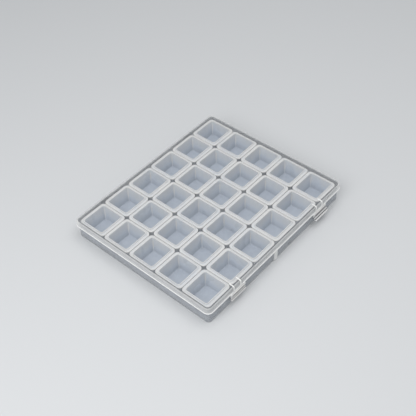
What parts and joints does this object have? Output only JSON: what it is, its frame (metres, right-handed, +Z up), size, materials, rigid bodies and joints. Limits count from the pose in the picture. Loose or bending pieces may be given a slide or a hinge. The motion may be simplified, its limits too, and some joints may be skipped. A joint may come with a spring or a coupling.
{
  "type": "compartment organizer case",
  "caption": "Flat clear plastic craft case with a hinged lid, front snap latches and a grid of square lift-out cups for beads and small parts.",
  "frame": {"origin": "centre of the flat underside of the base tray", "axes": "+X along the long side, -Y towards the latches, +Y towards the hinges, +Z up"},
  "size_m": [0.2056, 0.1804, 0.0232],
  "materials": {
    "tray_plastic": "translucent polypropylene, faintly hazy",
    "lid_plastic": "clear polypropylene, glossy",
    "latch_plastic": "translucent polypropylene, ribbed",
    "cup_plastic": "translucent polypropylene, whiter at the rims"
  },
  "bodies": {
    "base": {"base_tray": "tray_plastic"},
    "lid": {"lid": "lid_plastic"},
    "latch_left": {"latch_left": "latch_plastic"},
    "latch_right": {"latch_right": "latch_plastic"},
    "cup_row1_col1": {"cup_row1_col1": "cup_plastic"},
    "cup_row1_col2": {"cup_row1_col2": "cup_plastic"},
    "cup_row1_col3": {"cup_row1_col3": "cup_plastic"},
    "cup_row1_col4": {"cup_row1_col4": "cup_plastic"},
    "cup_row1_col5": {"cup_row1_col5": "cup_plastic"},
    "cup_row1_col6": {"cup_row1_col6": "cup_plastic"},
    "cup_row2_col1": {"cup_row2_col1": "cup_plastic"},
    "cup_row2_col2": {"cup_row2_col2": "cup_plastic"},
    "cup_row2_col3": {"cup_row2_col3": "cup_plastic"},
    "cup_row2_col4": {"cup_row2_col4": "cup_plastic"},
    "cup_row2_col5": {"cup_row2_col5": "cup_plastic"},
    "cup_row2_col6": {"cup_row2_col6": "cup_plastic"},
    "cup_row3_col1": {"cup_row3_col1": "cup_plastic"},
    "cup_row3_col2": {"cup_row3_col2": "cup_plastic"},
    "cup_row3_col3": {"cup_row3_col3": "cup_plastic"},
    "cup_row3_col4": {"cup_row3_col4": "cup_plastic"},
    "cup_row3_col5": {"cup_row3_col5": "cup_plastic"},
    "cup_row3_col6": {"cup_row3_col6": "cup_plastic"},
    "cup_row4_col1": {"cup_row4_col1": "cup_plastic"},
    "cup_row4_col2": {"cup_row4_col2": "cup_plastic"},
    "cup_row4_col3": {"cup_row4_col3": "cup_plastic"},
    "cup_row4_col4": {"cup_row4_col4": "cup_plastic"},
    "cup_row4_col5": {"cup_row4_col5": "cup_plastic"},
    "cup_row4_col6": {"cup_row4_col6": "cup_plastic"},
    "cup_row5_col1": {"cup_row5_col1": "cup_plastic"},
    "cup_row5_col2": {"cup_row5_col2": "cup_plastic"},
    "cup_row5_col3": {"cup_row5_col3": "cup_plastic"},
    "cup_row5_col4": {"cup_row5_col4": "cup_plastic"},
    "cup_row5_col5": {"cup_row5_col5": "cup_plastic"},
    "cup_row5_col6": {"cup_row5_col6": "cup_plastic"}
  },
  "joints": [
    {"name": "lid_hinge", "type": "hinge", "parent": "base", "child": "lid", "pos_m": [0, 0.088, 0.0122], "axis": [-1, 0, 0], "range_deg": [0, 180]},
    {"name": "latch_left_hinge", "type": "hinge", "parent": "lid", "child": "latch_left", "pos_m": [-0.063, -0.0862, 0.0143], "axis": [-1, 0, 0], "range_deg": [0, 110]},
    {"name": "latch_right_hinge", "type": "hinge", "parent": "lid", "child": "latch_right", "pos_m": [0.063, -0.0862, 0.0143], "axis": [-1, 0, 0], "range_deg": [-26, 84]},
    {"name": "cup_row1_col1_lift", "type": "slide", "parent": "base", "child": "cup_row1_col1", "axis": [0, 0, 1], "range_m": [0, 0.001]},
    {"name": "cup_row1_col2_lift", "type": "slide", "parent": "base", "child": "cup_row1_col2", "axis": [0, 0, 1], "range_m": [0, 0.001]},
    {"name": "cup_row1_col3_lift", "type": "slide", "parent": "base", "child": "cup_row1_col3", "axis": [0, 0, 1], "range_m": [0, 0.001]},
    {"name": "cup_row1_col4_lift", "type": "slide", "parent": "base", "child": "cup_row1_col4", "axis": [0, 0, 1], "range_m": [0, 0.001]},
    {"name": "cup_row1_col5_lift", "type": "slide", "parent": "base", "child": "cup_row1_col5", "axis": [0, 0, 1], "range_m": [0, 0.001]},
    {"name": "cup_row1_col6_lift", "type": "slide", "parent": "base", "child": "cup_row1_col6", "axis": [0, 0, 1], "range_m": [0, 0.001]},
    {"name": "cup_row2_col1_lift", "type": "slide", "parent": "base", "child": "cup_row2_col1", "axis": [0, 0, 1], "range_m": [0, 0.001]},
    {"name": "cup_row2_col2_lift", "type": "slide", "parent": "base", "child": "cup_row2_col2", "axis": [0, 0, 1], "range_m": [0, 0.001]},
    {"name": "cup_row2_col3_lift", "type": "slide", "parent": "base", "child": "cup_row2_col3", "axis": [0, 0, 1], "range_m": [0, 0.001]},
    {"name": "cup_row2_col4_lift", "type": "slide", "parent": "base", "child": "cup_row2_col4", "axis": [0, 0, 1], "range_m": [0, 0.001]},
    {"name": "cup_row2_col5_lift", "type": "slide", "parent": "base", "child": "cup_row2_col5", "axis": [0, 0, 1], "range_m": [0, 0.001]},
    {"name": "cup_row2_col6_lift", "type": "slide", "parent": "base", "child": "cup_row2_col6", "axis": [0, 0, 1], "range_m": [0, 0.001]},
    {"name": "cup_row3_col1_lift", "type": "slide", "parent": "base", "child": "cup_row3_col1", "axis": [0, 0, 1], "range_m": [0, 0.001]},
    {"name": "cup_row3_col2_lift", "type": "slide", "parent": "base", "child": "cup_row3_col2", "axis": [0, 0, 1], "range_m": [0, 0.001]},
    {"name": "cup_row3_col3_lift", "type": "slide", "parent": "base", "child": "cup_row3_col3", "axis": [0, 0, 1], "range_m": [0, 0.001]},
    {"name": "cup_row3_col4_lift", "type": "slide", "parent": "base", "child": "cup_row3_col4", "axis": [0, 0, 1], "range_m": [0, 0.001]},
    {"name": "cup_row3_col5_lift", "type": "slide", "parent": "base", "child": "cup_row3_col5", "axis": [0, 0, 1], "range_m": [0, 0.001]},
    {"name": "cup_row3_col6_lift", "type": "slide", "parent": "base", "child": "cup_row3_col6", "axis": [0, 0, 1], "range_m": [0, 0.001]},
    {"name": "cup_row4_col1_lift", "type": "slide", "parent": "base", "child": "cup_row4_col1", "axis": [0, 0, 1], "range_m": [0, 0.001]},
    {"name": "cup_row4_col2_lift", "type": "slide", "parent": "base", "child": "cup_row4_col2", "axis": [0, 0, 1], "range_m": [0, 0.001]},
    {"name": "cup_row4_col3_lift", "type": "slide", "parent": "base", "child": "cup_row4_col3", "axis": [0, 0, 1], "range_m": [0, 0.001]},
    {"name": "cup_row4_col4_lift", "type": "slide", "parent": "base", "child": "cup_row4_col4", "axis": [0, 0, 1], "range_m": [0, 0.001]},
    {"name": "cup_row4_col5_lift", "type": "slide", "parent": "base", "child": "cup_row4_col5", "axis": [0, 0, 1], "range_m": [0, 0.001]},
    {"name": "cup_row4_col6_lift", "type": "slide", "parent": "base", "child": "cup_row4_col6", "axis": [0, 0, 1], "range_m": [0, 0.001]},
    {"name": "cup_row5_col1_lift", "type": "slide", "parent": "base", "child": "cup_row5_col1", "axis": [0, 0, 1], "range_m": [0, 0.001]},
    {"name": "cup_row5_col2_lift", "type": "slide", "parent": "base", "child": "cup_row5_col2", "axis": [0, 0, 1], "range_m": [0, 0.001]},
    {"name": "cup_row5_col3_lift", "type": "slide", "parent": "base", "child": "cup_row5_col3", "axis": [0, 0, 1], "range_m": [0, 0.001]},
    {"name": "cup_row5_col4_lift", "type": "slide", "parent": "base", "child": "cup_row5_col4", "axis": [0, 0, 1], "range_m": [0, 0.001]},
    {"name": "cup_row5_col5_lift", "type": "slide", "parent": "base", "child": "cup_row5_col5", "axis": [0, 0, 1], "range_m": [0, 0.001]},
    {"name": "cup_row5_col6_lift", "type": "slide", "parent": "base", "child": "cup_row5_col6", "axis": [0, 0, 1], "range_m": [0, 0.001]}
  ]
}
